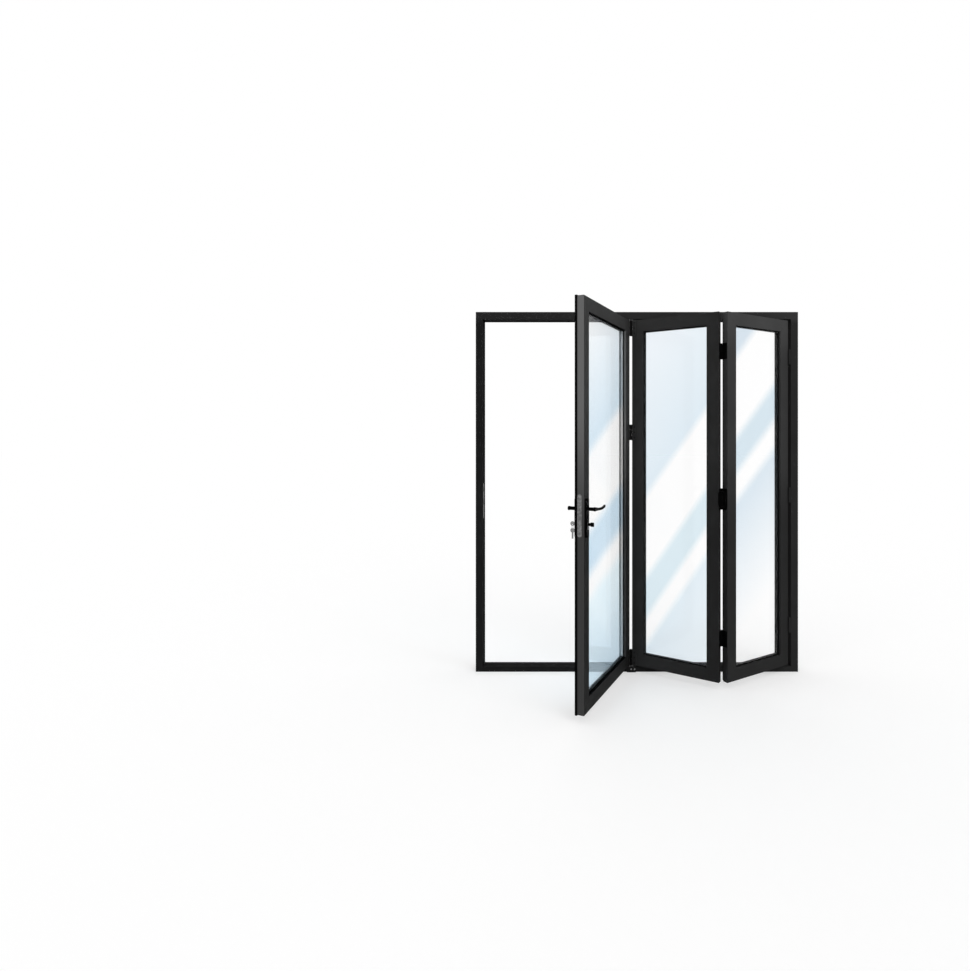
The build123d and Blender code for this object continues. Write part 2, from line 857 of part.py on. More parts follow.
# Dead bolt, drawn back flush with the faceplate
with BuildPart() as dead_bolt:
    slab(
        swing_leaf.offset(dead_bolt_level - dead_bolt_height / 2),
        (-faceplate_stand, latch_front),
        (dead_bolt_length, latch_back),
        dead_bolt_height,
    )
dead_bolt.part.label = "dead_bolt"
export_step(dead_bolt.part, "parts/dead_bolt.step")

# Key in the cylinder, in the upright plane across the leaf
key_plane = edge_of(swing_leaf, handle_setback - key_thickness / 2)
bow_depth = cylinder_back + key_bow_stand
key_hole = (bow_depth, cylinder_level - key_hole_drop)
with BuildPart() as key:
    with BuildSketch(key_plane):
        with Locations((bow_depth, cylinder_level)):
            Circle(key_bow_radius)
        with Locations(((cylinder_back + bow_depth) / 2, cylinder_level)):
            Rectangle(key_bow_stand, key_blade_width)
        with Locations(key_hole):
            Circle(key_hole_radius, mode=Mode.SUBTRACT)
    extrude(amount=key_thickness)
key.part.label = "key"
export_step(key.part, "parts/key.step")

# Ring through the key's bow, and the second key that hangs from it
ring_centre = key_hole[1] - key_hole_radius + ring_wire + ring_clearance - ring_radius
spare_hole = ring_centre - ring_radius - ring_wire - ring_clearance + key_hole_radius
spare_bow = spare_hole - key_hole_drop
with BuildPart() as key_ring:
    with BuildSketch(swing_leaf.offset(ring_centre)):
        with Locations((handle_setback + ring_radius, bow_depth)):
            Circle(ring_wire)
    revolve(
        axis=Axis(
            swing_leaf.from_local_coords((handle_setback, bow_depth, ring_centre)),
            swing_leaf.y_dir,
        ),
        revolution_arc=360,
    )
    with BuildSketch(key_plane):
        with Locations((bow_depth, spare_bow)):
            Circle(key_bow_radius)
        with Locations((bow_depth, spare_bow - (key_bow_radius + key_blade_length) / 2)):
            Rectangle(key_blade_width, key_bow_radius + key_blade_length)
        with Locations((bow_depth, spare_hole)):
            Circle(key_hole_radius, mode=Mode.SUBTRACT)
    extrude(amount=key_thickness)
key_ring.part.label = "key_ring"
export_step(key_ring.part, "parts/key_ring.step")
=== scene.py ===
import json
from collections import namedtuple
from math import cos, pi, radians, sin

import bmesh
import bpy
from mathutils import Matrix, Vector


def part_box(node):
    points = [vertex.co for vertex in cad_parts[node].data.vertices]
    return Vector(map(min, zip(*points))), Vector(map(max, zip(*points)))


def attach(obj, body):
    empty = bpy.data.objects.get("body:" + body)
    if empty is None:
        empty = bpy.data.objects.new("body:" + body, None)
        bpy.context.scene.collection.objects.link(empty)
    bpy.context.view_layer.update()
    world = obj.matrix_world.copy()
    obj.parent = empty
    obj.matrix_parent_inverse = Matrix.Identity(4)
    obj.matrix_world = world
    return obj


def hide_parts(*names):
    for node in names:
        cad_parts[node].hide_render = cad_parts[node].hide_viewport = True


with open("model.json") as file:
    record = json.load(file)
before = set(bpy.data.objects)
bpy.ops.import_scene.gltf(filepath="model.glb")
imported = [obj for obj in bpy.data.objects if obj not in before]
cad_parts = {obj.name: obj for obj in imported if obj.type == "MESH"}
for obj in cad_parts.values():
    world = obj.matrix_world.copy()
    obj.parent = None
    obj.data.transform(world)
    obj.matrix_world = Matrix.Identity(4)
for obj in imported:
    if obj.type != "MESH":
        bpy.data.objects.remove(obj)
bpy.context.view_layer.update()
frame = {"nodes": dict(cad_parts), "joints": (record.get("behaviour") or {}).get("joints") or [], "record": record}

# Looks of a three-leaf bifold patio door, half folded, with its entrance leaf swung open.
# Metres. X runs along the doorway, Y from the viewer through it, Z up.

scene = bpy.context.scene
nodes = frame["nodes"]
joints = {joint["name"]: joint for joint in frame["joints"]}
upward = Vector((0, 0, 1))
sideways = Vector((1, 0, 0))
forward = Vector((0, -1, 0))

# Camera, in metres and in pixels of a 970 by 971 picture
camera_place = (-0.5065, -3.579, 1.331)
picture_width = 970
picture_height = 971
principal_x = 547.2
principal_y = 436.1
focal_pixels = 627.5
sensor = 36.0

# Light levels
dome_level = 0.75
key_level = 0.6
fill_level = 0.2
key_turn = (50, 0, 35)
fill_turn = (60, 0, -50)
lamp_softness = 40
floor_albedo = 0.6
floor_size = 80.0

# Profiles that run round a leaf: distances in from its edge, and behind its front face
spacer_profile = (
    (0.0695, 0.0193),
    (0.0695, 0.0307),
    (0.0600, 0.0307),
    (0.0560, 0.0285),
    (0.0560, 0.0215),
    (0.0600, 0.0193),
)
bead_profile = (
    (0.0526, 0.0384),
    (0.0526, 0.0446),
    (0.0530, 0.0450),
    (0.0598, 0.0450),
    (0.0626, 0.0445),
    (0.0646, 0.0432),
    (0.0657, 0.0413),
    (0.0660, 0.0384),
)

# Seal on the frame's stop: distances in from the opening's edge, and before the stop
frame_seal_profile = (
    (0.0006, 0.0000),
    (0.0008, 0.0012),
    (0.0017, 0.0018),
    (0.0022, 0.0027),
    (0.0032, 0.0030),
    (0.0042, 0.0027),
    (0.0050, 0.0018),
    (0.0054, 0.0000),
)
frame_face = 0.040
stop_height = 0.006
stop_depth = 0.010

# Smooth shading: edges that turn by more degrees than these stay sharp
bead_sharp = 40
seal_sharp = 50
screw_sharp = 35

# Screw heads, and where the swing hinges' flaps carry theirs
screw_points = 24
plate_screw_radius = 0.0034
hinge_screw_radius = 0.0038
hinge_screw_offset = 0.0195
hinge_screw_pitch = 0.030
hinge_flap = 0.0045

# A screw head's shape, as shares of its radius: the arms of its cross and how wide and deep they
# are, and its dome's rim and rise
cross_arm = 0.56
cross_half = 0.16
cross_floor = 0.7
cross_depth = 0.28
dome_rim = 0.86
dome_rise = 0.12
dome_top = 0.14
head_sunk = 0.0004
head_stand = 0.0001

# Screws of the lock, keep and guide, and the faces that they sit on
handle_across = 0.030
backplate_front = -0.008
backplate_back = 0.053
backplate_screws = (0.871, 1.029)
faceplate_screws = (0.874, 1.050)
faceplate_stand = 0.0005
guide_screws = (-0.0010, 0.0185)
guide_screw_level = 0.020
guide_screw_radius = 0.0042

# Painted reflection on the glass, as white streaks in its pale blue cast: their slope and how much it
# fans out along the leaf, the heights of their four edges at mid-width from the top down, the casts
# above, between and below them, and how clear the panes are. Where the foot is less clear, only the
# rear pane is hazy
Streaks = namedtuple(
    "Streaks",
    "slope fan edges top high gap low foot clearness foot_clearness ior",
)


def linear(level):
    """Linear value of a display level from 0 to 255."""
    share = level / 255
    return share / 12.92 if share <= 0.04045 else ((share + 0.055) / 1.055) ** 2.4


def tone(red, green=None, blue=None):
    """Linear colour of display levels, or of one grey level."""
    if green is None:
        green = blue = red
    return (linear(red), linear(green), linear(blue), 1.0)


def cast(red, green, blue):
    """Colour of one pane, when two of them together are seen at these display levels."""
    return tuple(channel**0.5 for channel in tone(red, green, blue)[:3]) + (1.0,)


streaks = {
    "swing_leaf": Streaks(
        slope=0.0816,
        fan=0.3025,
        edges=(1.362, 0.948, 0.734, 0.604),
        top=cast(255, 255, 255),
        high=cast(222, 237, 247),
        gap=cast(213, 232, 245),
        low=cast(238, 250, 255),
        foot=cast(216, 235, 248),
        clearness=0.88,
        foot_clearness=0.77,
        ior=1.07,
    ),
    "middle_leaf": Streaks(
        slope=1.664,
        fan=-0.228,
        edges=(1.236, 0.790, 0.576, 0.425),
        top=cast(240, 246, 251),
        high=cast(226, 238, 246),
        gap=cast(222, 237, 244),
        low=cast(230, 241, 248),
        foot=cast(242, 248, 252),
        clearness=0.99,
        foot_clearness=0.99,
        ior=1.17,
    ),
    "jamb_leaf": Streaks(
        slope=0.657,
        fan=0.203,
        edges=(1.917, 1.466, 1.275, 1.118),
        top=cast(220, 231, 240),
        high=cast(216, 228, 238),
        gap=cast(216, 231, 240),
        low=cast(221, 233, 242),
        foot=cast(255, 255, 255),
        clearness=0.99,
        foot_clearness=0.99,
        ior=1.17,
    ),
}
streak_start = -0.6
streak_span = 3.2
streak_soft = 0.035
streak_fade = 0.75
clear_white = (1.0, 1.0, 1.0, 1.0)

# Haze on the rear pane: the heights between which it thins, and the depth halfway between the panes
foot_low = 0.2
foot_high = 0.5
front_clearness = 0.99
panes_middle = 0.025

# Leaves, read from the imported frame
Leaf = namedtuple("Leaf", "name origin along inward width low high thickness")
members = ("left_stile", "right_stile", "top_rail", "bottom_rail")


def reach(points, direction):
    """Lowest and highest place of some points along a direction."""
    places = [point.dot(direction) for point in points]
    return min(places), max(places)


def read_leaf(name):
    """A leaf's own axes and sizes: X along it, Y from its front face inwards, Z up."""
    widest = max(nodes[f"{name}_glass"].data.polygons, key=lambda face: face.area)
    inward = Vector((widest.normal.x, widest.normal.y, 0)).normalized()
    if inward.y < 0:
        inward.negate()
    along = inward.cross(upward)
    points = [v.co for member in members for v in nodes[f"{name}_{member}"].data.vertices]
    left, right = reach(points, along)
    front, back = reach(points, inward)
    low, high = reach(points, upward)
    origin = along * left + inward * front
    return Leaf(name, origin, along, inward, right - left, low, high, back - front)


leaves = {name: read_leaf(name) for name in ("swing_leaf", "middle_leaf", "jamb_leaf")}
leaf_body = {"swing_leaf": "swing_leaf", "middle_leaf": "frame", "jamb_leaf": "frame"}
swing_leaf = leaves["swing_leaf"]
swing_pivot = Vector(joints["swing_leaf_hinge"]["pos_m"][:2] + [0])


def place(leaf, across, depth, height):
    """Point at a distance along a leaf, a depth behind its front face and a height."""
    return leaf.origin + leaf.along * across + leaf.inward * depth + upward * height


# Powder coat
coat_gloss = 0.03
frame_gloss = 0.006
coat_roughness = 0.6
coat_unevenness = 0.05
cloud_scale = 5.0
cloud_contrast = 0.1
satin_scale = 11.0
peel_scale = 420.0
peel_height = 0.000016
grain_scale = 1300.0
grain_height = 0.000006
relief_strength = 0.6

# Where a coat changes: its mitre seams, its reveals, which are painted dark as shade, its seal, and the barrels of
# the swing hinges
seam_half = 0.0002
# Black of the mitre seams, and of the painted shadow on the swing leaf's rail reveals
seam_and_shadow_black = tone(6)
hinge_black = tone(10)
barrel_reach = 0.0072
face_square = 0.9
# Share of light left on the jambs' reveals by their painted shade
reveal_shade_share = 0.5
seal_back_depth = 0.033
reveal_start = 0.05

# Rubber
rubber_gloss = 0.015
rubber_black = tone(5)
rubber_dust = tone(13)
drag_scale = 1500.0
drag_height = 0.00001
dust_scale = 60.0

# Enamel and metals
enamel_gloss = 0.01
enamel_black = tone(4)
enamel_worn = tone(11)
wear_scale = 30.0
pitting_scale = 1600.0
scratch_height = 0.00002
steel_grey = tone(120)
screw_grey = tone(150)
key_grey = tone(140)
cylinder_grey = tone(150)
carriage_grey = tone(30)

# Spacers between the panes
spacer_grey = tone(45)
spacer_edge = tone(190)
hole_pitch = 0.004
hole_start = 0.12
hole_end = 0.2
hole_depth = 0.0004
# Share of light left in the holes by their painted shade
hole_shade_share = 0.7


def new_material(name, roughness, metallic=0.0, specular=0.5, ior=1.5):
    """Material with its shader's even values set on the shader itself."""
    made = bpy.data.materials.new(name)
    made.use_nodes = True
    shader = made.node_tree.nodes["Principled BSDF"]
    shader.inputs["Roughness"].default_value = roughness
    shader.inputs["Metallic"].default_value = metallic
    shader.inputs["Specular IOR Level"].default_value = specular
    shader.inputs["IOR"].default_value = ior
    return made, made.node_tree, shader


def feed(tree, socket, value):
    """Link a socket to another one, or set its value."""
    if isinstance(value, bpy.types.NodeSocket):
        tree.links.new(value, socket)
    else:
        socket.default_value = value


def object_place(tree, stretch=(1, 1, 1)):
    """Place on the object, stretched along its axes."""
    source = tree.nodes.new("ShaderNodeTexCoord")
    mapping = tree.nodes.new("ShaderNodeMapping")
    mapping.inputs["Scale"].default_value = stretch
    tree.links.new(source.outputs["Object"], mapping.inputs["Vector"])
    return mapping.outputs["Vector"]


def calculate(tree, operation, *values):
    """One arithmetic step."""
    node = tree.nodes.new("ShaderNodeMath")
    node.operation = operation
    for socket, value in zip(node.inputs, values):
        feed(tree, socket, value)
    return node.outputs["Value"]


def measure(tree, vector, direction, start=0.0):
    """How far a place lies along a direction, from a start."""
    node = tree.nodes.new("ShaderNodeVectorMath")
    node.operation = "DOT_PRODUCT"
    tree.links.new(vector, node.inputs[0])
    node.inputs[1].default_value = direction
    return calculate(tree, "SUBTRACT", node.outputs["Value"], start)


def noise(tree, place_socket, scale, detail=3.0, roughness=0.5):
    """Cloudy value from 0 to 1."""
    node = tree.nodes.new("ShaderNodeTexNoise")
    node.inputs["Scale"].default_value = scale
    node.inputs["Detail"].default_value = detail
    node.inputs["Roughness"].default_value = roughness
    tree.links.new(place_socket, node.inputs["Vector"])
    return node.outputs["Fac"]


def spread(tree, value, low, high, from_low=0.3, from_high=0.7, smooth=False):
    """A value moved from one range to another."""
    node = tree.nodes.new("ShaderNodeMapRange")
    node.interpolation_type = "SMOOTHSTEP" if smooth else "LINEAR"
    node.inputs["From Min"].default_value = from_low
    node.inputs["From Max"].default_value = from_high
    node.inputs["To Min"].default_value = low
    node.inputs["To Max"].default_value = high
    tree.links.new(value, node.inputs["Value"])
    return node.outputs["Result"]


def ramp(tree, value, stops):
    """Colour along a value, from (place, colour) stops."""
    node = tree.nodes.new("ShaderNodeValToRGB")
    elements = node.color_ramp.elements
    elements[0].position, elements[0].color = stops[0]
    elements[1].position, elements[1].color = stops[-1]
    for position, colour in stops[1:-1]:
        elements.new(position).color = colour
    tree.links.new(value, node.inputs["Fac"])
    return node.outputs["Color"]


def mixed(tree, share, first, second):
    """Second colour over the first by a share."""
    node = tree.nodes.new("ShaderNodeMixRGB")
    for socket, value in zip(node.inputs, (share, first, second)):
        feed(tree, socket, value)
    return node.outputs["Color"]


def dimmed(tree, colour, share):
    """A colour times a share."""
    node = tree.nodes.new("ShaderNodeVectorMath")
    node.operation = "SCALE"
    feed(tree, node.inputs[0], colour)
    feed(tree, node.inputs["Scale"], share)
    return node.outputs["Vector"]


def bump(tree, height, distance, strength=1.0, below=None):
    """Normal of a small relief, on top of another one if there is one."""
    node = tree.nodes.new("ShaderNodeBump")
    node.inputs["Distance"].default_value = distance
    node.inputs["Strength"].default_value = strength
    tree.links.new(height, node.inputs["Height"])
    if below is not None:
        tree.links.new(below, node.inputs["Normal"])
    return node.outputs["Normal"]


def scaled(colour, share):
    """A colour made darker or lighter."""
    return tuple(channel * share for channel in colour[:3]) + (1.0,)


# Painted light and shade: a colour may change along a direction, from one place to another, from one share to
# another
PaintedShade = namedtuple("PaintedShade", "direction start end first last")


def painted_shading(tree, here, colour, shade):
    """A colour with painted light and shade, which changes slowly along a direction."""
    along = measure(tree, here, shade.direction)
    share = spread(tree, along, shade.first, shade.last, shade.start, shade.end, smooth=True)
    return dimmed(tree, colour, share)


def clouded(tree, here, colour):
    """A coat's colour, slightly lighter and darker from place to place."""
    cloud = noise(tree, here, cloud_scale, 4.0, 0.6)
    dark = scaled(colour, 1 - cloud_contrast)
    light = scaled(colour, 1 + cloud_contrast)
    return ramp(tree, cloud, [(0.3, dark), (0.5, colour), (0.7, light)])


def mitre_seam(tree, here, leaf):
    """One along the hairlines where a leaf's stiles and rails meet, and zero elsewhere."""
    across = measure(tree, here, leaf.along, leaf.origin.dot(leaf.along) + leaf.width / 2)
    level = measure(tree, here, upward, (leaf.low + leaf.high) / 2)
    apart = calculate(
        tree,
        "SUBTRACT",
        calculate(tree, "ABSOLUTE", level),
        calculate(tree, "ABSOLUTE", across),
    )
    off_seam = calculate(tree, "ADD", apart, (leaf.width - leaf.high + leaf.low) / 2)
    return calculate(tree, "LESS_THAN", calculate(tree, "ABSOLUTE", off_seam), seam_half)


def looks(tree, direction):
    """How squarely a face looks in a direction."""
    source = tree.nodes.new("ShaderNodeTexCoord")
    return measure(tree, source.outputs["Normal"], direction)


def looks_back_mask(tree, here, leaf):
    """One on faces that look back along a leaf, such as its free edge, in front of its seal."""
    facing = calculate(tree, "GREATER_THAN", looks(tree, -leaf.along), face_square)
    depth = measure(tree, here, leaf.inward, leaf.origin.dot(leaf.inward))
    return calculate(tree, "MULTIPLY", facing, calculate(tree, "LESS_THAN", depth, seal_back_depth))


def rail_reveal_shadow(tree, here, leaf):
    """One on the reveals over and under a leaf's glass, which are painted black as their shadow."""
    level = measure(tree, here, upward, (leaf.low + leaf.high) / 2)
    within = (leaf.high - leaf.low) / 2 - reveal_start
    inner = calculate(tree, "LESS_THAN", calculate(tree, "ABSOLUTE", level), within)
    square = calculate(tree, "ABSOLUTE", looks(tree, upward))
    return calculate(tree, "MULTIPLY", inner, calculate(tree, "GREATER_THAN", square, face_square))


def doorway_reveal_shade(tree):
    """One on the faces that look along the doorway, such as the jambs' reveals, which are painted darker as shade.
    """
    square = calculate(tree, "ABSOLUTE", looks(tree, sideways))
    return calculate(tree, "GREATER_THAN", square, face_square)


def coat_relief(tree, here):
    """Fine orange peel, with a finer grain on it."""
    peel = bump(tree, noise(tree, here, peel_scale, 2.0), peel_height, relief_strength)
    return bump(tree, noise(tree, here, grain_scale, 2.0), grain_height, relief_strength, peel)


def powder_coat(name, colour, painted_shades, gloss=coat_gloss, leaf=None, edge=None, reveal=1.0):
    """Satin powder coat: orange peel and slight clouding of its colour and its gloss, with painted light and shade
    on it.
    """
    made, tree, shader = new_material(name, coat_roughness, specular=gloss)
    here = object_place(tree)
    paint = clouded(tree, here, colour)
    if edge is not None:
        # Lighter on faces that look back along the leaf, such as its free edge
        paint = mixed(tree, looks_back_mask(tree, here, leaf), paint, edge)
        # Painted shadow: the reveals over and under the glass are painted black
        paint = mixed(tree, rail_reveal_shadow(tree, here, leaf), paint, seam_and_shadow_black)
    if leaf is not None:
        paint = mixed(tree, mitre_seam(tree, here, leaf), paint, seam_and_shadow_black)
    # Painted shade: faces that look along the doorway, such as the jambs' reveals, are made darker
    if reveal < 1:
        paint = dimmed(tree, paint, spread(tree, doorway_reveal_shade(tree), 1.0, reveal, 0.0, 1.0))
    for shade in painted_shades:
        paint = painted_shading(tree, here, paint, shade)
    tree.links.new(paint, shader.inputs["Base Color"])
    satin = noise(tree, here, satin_scale, 4.0, 0.6)
    smooth = coat_roughness - coat_unevenness
    rough = coat_roughness + coat_unevenness
    tree.links.new(spread(tree, satin, smooth, rough), shader.inputs["Roughness"])
    tree.links.new(coat_relief(tree, here), shader.inputs["Normal"])
    return made


def barrel_finish(name, colour, painted_shades):
    """The coat of a swing hinge's own leaf on its flap, with that leaf's painted light and shade, and black on its
    barrel.
    """
    made, tree, shader = new_material(name, coat_roughness, specular=coat_gloss)
    here = object_place(tree)
    apart = tree.nodes.new("ShaderNodeVectorMath")
    apart.operation = "DISTANCE"
    tree.links.new(object_place(tree, (1, 1, 0)), apart.inputs[0])
    apart.inputs[1].default_value = swing_pivot
    barrel = calculate(tree, "LESS_THAN", apart.outputs["Value"], barrel_reach)
    paint = mixed(tree, barrel, clouded(tree, here, colour), hinge_black)
    for shade in painted_shades:
        paint = painted_shading(tree, here, paint, shade)
    tree.links.new(paint, shader.inputs["Base Color"])
    tree.links.new(coat_relief(tree, here), shader.inputs["Normal"])
    return made


def rubber(name):
    """Black extruded rubber: dull, with fine lengthways drag lines and dust."""
    made, tree, shader = new_material(name, 0.8, specular=rubber_gloss)
    drag = noise(tree, object_place(tree, (1, 1, 0.02)), drag_scale, 2.0, 0.6)
    dust = noise(tree, object_place(tree), dust_scale, 5.0, 0.7)
    dusty = ramp(tree, dust, [(0.4, rubber_black), (0.75, rubber_dust)])
    tree.links.new(dusty, shader.inputs["Base Color"])
    tree.links.new(spread(tree, dust, 0.65, 0.85), shader.inputs["Roughness"])
    tree.links.new(bump(tree, drag, drag_height, 0.5), shader.inputs["Normal"])
    return made


def brushed(name, colour, roughness, stretch, fine=1400.0, blotch=45.0, contrast=0.2):
    """Brushed metal: long fine scratches along one axis, blotches and faint smudges."""
    made, tree, shader = new_material(name, roughness, metallic=1.0)
    lines = noise(tree, object_place(tree, stretch), fine, 3.0, 0.6)
    smudge = noise(tree, object_place(tree), blotch, 5.0, 0.65)
    scratched = ramp(tree, lines, [(0.3, scaled(colour, 0.75)), (0.7, scaled(colour, 1.1))])
    worn = spread(tree, smudge, 1 - contrast, 1 + contrast)
    tree.links.new(dimmed(tree, scratched, worn), shader.inputs["Base Color"])
    uneven = spread(tree, smudge, roughness + 0.1, roughness - 0.06)
    tree.links.new(uneven, shader.inputs["Roughness"])
    tree.links.new(bump(tree, lines, scratch_height, relief_strength), shader.inputs["Normal"])
    return made


def black_enamel(name):
    """Black satin enamel of the handles, with worn, shinier patches."""
    made, tree, shader = new_material(name, 0.34, specular=enamel_gloss)
    here = object_place(tree)
    worn = noise(tree, here, wear_scale, 5.0, 0.65)
    patchy = ramp(tree, worn, [(0.35, enamel_black), (0.7, enamel_worn)])
    pitting = noise(tree, here, pitting_scale, 2.0)
    tree.links.new(patchy, shader.inputs["Base Color"])
    tree.links.new(spread(tree, worn, 0.42, 0.28), shader.inputs["Roughness"])
    tree.links.new(bump(tree, pitting, scratch_height, relief_strength), shader.inputs["Normal"])
    return made


def perforated(name, leaf, colour, edge=None):
    """Dark spacer with rows of fine holes to the desiccant inside it, painted darker as shade in them."""
    made, tree, shader = new_material(name, 0.55, specular=0.05)
    grid = tree.nodes.new("ShaderNodeTexVoronoi")
    grid.inputs["Scale"].default_value = 1 / hole_pitch
    grid.inputs["Randomness"].default_value = 0.0
    source = tree.nodes.new("ShaderNodeTexCoord")
    turned = tree.nodes.new("ShaderNodeVectorRotate")
    turned.rotation_type = "Z_AXIS"
    turned.inputs["Angle"].default_value = -Vector((1, 0)).angle_signed(leaf.along.xy)
    tree.links.new(source.outputs["Object"], turned.inputs["Vector"])
    tree.links.new(turned.outputs["Vector"], grid.inputs["Vector"])
    hole = spread(tree, grid.outputs["Distance"], 1.0, 0.0, hole_start, hole_end, smooth=True)
    here = object_place(tree)
    plain = clouded(tree, here, colour)
    if edge is not None:
        plain = mixed(tree, looks_back_mask(tree, here, leaf), plain, edge)
    # Painted shade: the holes are made darker
    shade = spread(tree, hole, 1.0, hole_shade_share, 0.0, 1.0)
    tree.links.new(dimmed(tree, plain, shade), shader.inputs["Base Color"])
    tree.links.new(bump(tree, hole, -hole_depth, 0.8), shader.inputs["Normal"])
    return made


def reflection_streak_stops(lines):
    """Casts of the painted reflection along the height at mid-width, from the bottom up."""
    first, second, third, fourth = lines.edges
    return (
        (fourth - streak_fade, lines.foot),
        (fourth - streak_soft, lines.low),
        (fourth + streak_soft, clear_white),
        (third - streak_soft, clear_white),
        (third + streak_soft, lines.gap),
        (second - streak_soft, lines.gap),
        (second + streak_soft, clear_white),
        (first - streak_soft, clear_white),
        (first + streak_soft, lines.high),
        (first + streak_fade, lines.top),
    )


def reflection_streak_colour(tree, leaf, lines):
    """Pale blue cast of a leaf's glass, broken by two white streaks of painted reflection that rise along the
    leaf.
    """
    here = object_place(tree)
    across = measure(tree, here, leaf.along, leaf.origin.dot(leaf.along) + leaf.width / 2)
    rise = calculate(tree, "MULTIPLY", across, lines.slope)
    fanned = calculate(tree, "ADD", calculate(tree, "MULTIPLY", across, lines.fan), 1.0)
    below = calculate(tree, "SUBTRACT", measure(tree, here, upward), rise)
    level = calculate(tree, "DIVIDE", below, fanned)
    share = spread(tree, level, 0.0, 1.0, streak_start, streak_start + streak_span)
    stops = [
        ((height - streak_start) / streak_span, colour) for height, colour in reflection_streak_stops(lines)
    ]
    return ramp(tree, share, stops)


def hazy_rear(tree, leaf, lines):
    """Clearness of two panes, of which the rear one is hazy, and most of all at its foot."""
    here = object_place(tree)
    level = measure(tree, here, upward)
    least, most = lines.foot_clearness, lines.clearness
    rear = spread(tree, level, least, most, foot_low, foot_high, smooth=True)
    depth = measure(tree, here, leaf.inward, leaf.origin.dot(leaf.inward))
    in_front = calculate(tree, "LESS_THAN", depth, panes_middle)
    front = calculate(tree, "MULTIPLY", in_front, front_clearness)
    return calculate(tree, "MAXIMUM", rear, front)


def glass_with_painted_reflection(leaf, lines):
    """Clear pane with its painted reflection streaks, which lets shadow rays through in its own colour."""
    made, tree, shader = new_material(f"{leaf.name}_pane", 0.0, ior=lines.ior)
    shader.inputs["Transmission Weight"].default_value = lines.clearness
    if lines.foot_clearness < lines.clearness:
        tree.links.new(hazy_rear(tree, leaf, lines), shader.inputs["Transmission Weight"])
    colour = reflection_streak_colour(tree, leaf, lines)
    tree.links.new(colour, shader.inputs["Base Color"])
    clear = tree.nodes.new("ShaderNodeBsdfTransparent")
    mix = tree.nodes.new("ShaderNodeMixShader")
    rays = tree.nodes.new("ShaderNodeLightPath")
    tree.links.new(colour, clear.inputs["Color"])
    tree.links.new(rays.outputs["Is Shadow Ray"], mix.inputs["Fac"])
    tree.links.new(shader.outputs["BSDF"], mix.inputs[1])
    tree.links.new(clear.outputs["BSDF"], mix.inputs[2])
    tree.links.new(mix.outputs["Shader"], tree.nodes["Material Output"].inputs["Surface"])
    return made


# Paints, with painted light and shade. They are darker low down as painted shade, and change a
# little along the doorway, as in the photograph, with painted light on the frame's head and right,
# the jamb leaf's top and the middle leaf's left
# One charcoal coat in lighter and darker copies, one for the frame and each leaf, as painted light and shade
frame_paint_as_lit = tone(33)
swing_paint_as_lit = tone(59)
swing_edge = tone(112)
middle_paint_as_lit = tone(44)
jamb_paint_as_lit = tone(60)
frame_painted_shades = [
    PaintedShade(sideways, start=-0.9, end=0.9, first=1.0, last=1.8),
    PaintedShade(upward, start=1.96, end=2.0, first=1.0, last=1.5),
]
swing_painted_shades = [PaintedShade(upward, start=0.85, end=1.5, first=0.34, last=1.0)]
middle_painted_shades = [
    PaintedShade(upward, start=0.8, end=1.35, first=0.8, last=1.0),
    # Painted light on the middle leaf's left, where the swing leaf's shadow falls
    PaintedShade(sideways, start=0.0, end=0.4, first=1.65, last=1.0),
]
jamb_painted_shades = [
    PaintedShade(upward, start=0.8, end=1.35, first=0.55, last=1.0),
    PaintedShade(upward, start=1.75, end=1.95, first=1.0, last=1.45),
]

# Finishes
middle_leaf = leaves["middle_leaf"]
jamb_leaf = leaves["jamb_leaf"]
frame_coat = powder_coat("frame_coat", frame_paint_as_lit, frame_painted_shades, frame_gloss, reveal=reveal_shade_share)
swing_coat = powder_coat(
    "swing_leaf_coat", swing_paint_as_lit, swing_painted_shades, leaf=swing_leaf, edge=swing_edge
)
middle_coat = powder_coat("middle_leaf_coat", middle_paint_as_lit, middle_painted_shades, leaf=middle_leaf)
jamb_coat = powder_coat("jamb_leaf_coat", jamb_paint_as_lit, jamb_painted_shades, leaf=jamb_leaf)
swing_hinge_moving = barrel_finish("swing_hinge_moving", swing_paint_as_lit, swing_painted_shades)
swing_hinge_fixed = barrel_finish("swing_hinge_fixed", middle_paint_as_lit, middle_painted_shades)
black_rubber = rubber("black_rubber")
enamel = black_enamel("black_enamel")
steel = brushed(
    "brushed_steel", steel_grey, 0.38, (1, 1, 0.05), fine=700.0, blotch=110.0, contrast=0.6
)
bright_steel = brushed("bright_steel", screw_grey, 0.3, (1, 1, 1))
nickel = brushed("key_nickel", key_grey, 0.35, (0.05, 0.05, 1))
satin_nickel = brushed("cylinder_nickel", cylinder_grey, 0.35, (1, 0.05, 1))
dark_steel = brushed("dark_steel", carriage_grey, 0.5, (0.05, 1, 1))
spacers = {
    name: perforated(
        f"{name}_spacer", leaf, spacer_grey, spacer_edge if leaf is swing_leaf else None
    )
    for name, leaf in leaves.items()
}
panes = {name: glass_with_painted_reflection(leaf, streaks[name]) for name, leaf in leaves.items()}

coats = {"swing_leaf": swing_coat, "middle_leaf": middle_coat, "jamb_leaf": jamb_coat}
by_slot = {
    "aluminium": frame_coat,
    "rubber": black_rubber,
    "steel": steel,
    "keys": nickel,
    "cylinder": satin_nickel,
    "black_hardware": enamel,
    "hinge": frame_coat,
    "carriage": dark_steel,
}
slot_of = {part["node"]: part["material_slot"] for part in frame["record"]["subparts"]}


def node_material(name):
    """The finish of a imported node."""
    for leaf_name in leaves:
        if name == f"{leaf_name}_glass":
            return panes[leaf_name]
        if name.startswith(leaf_name) and slot_of[name] == "aluminium":
            return coats[leaf_name]
    if name.startswith("swing_hinge"):
        return swing_hinge_moving if name.endswith("moving") else swing_hinge_fixed
    return by_slot[slot_of[name]]


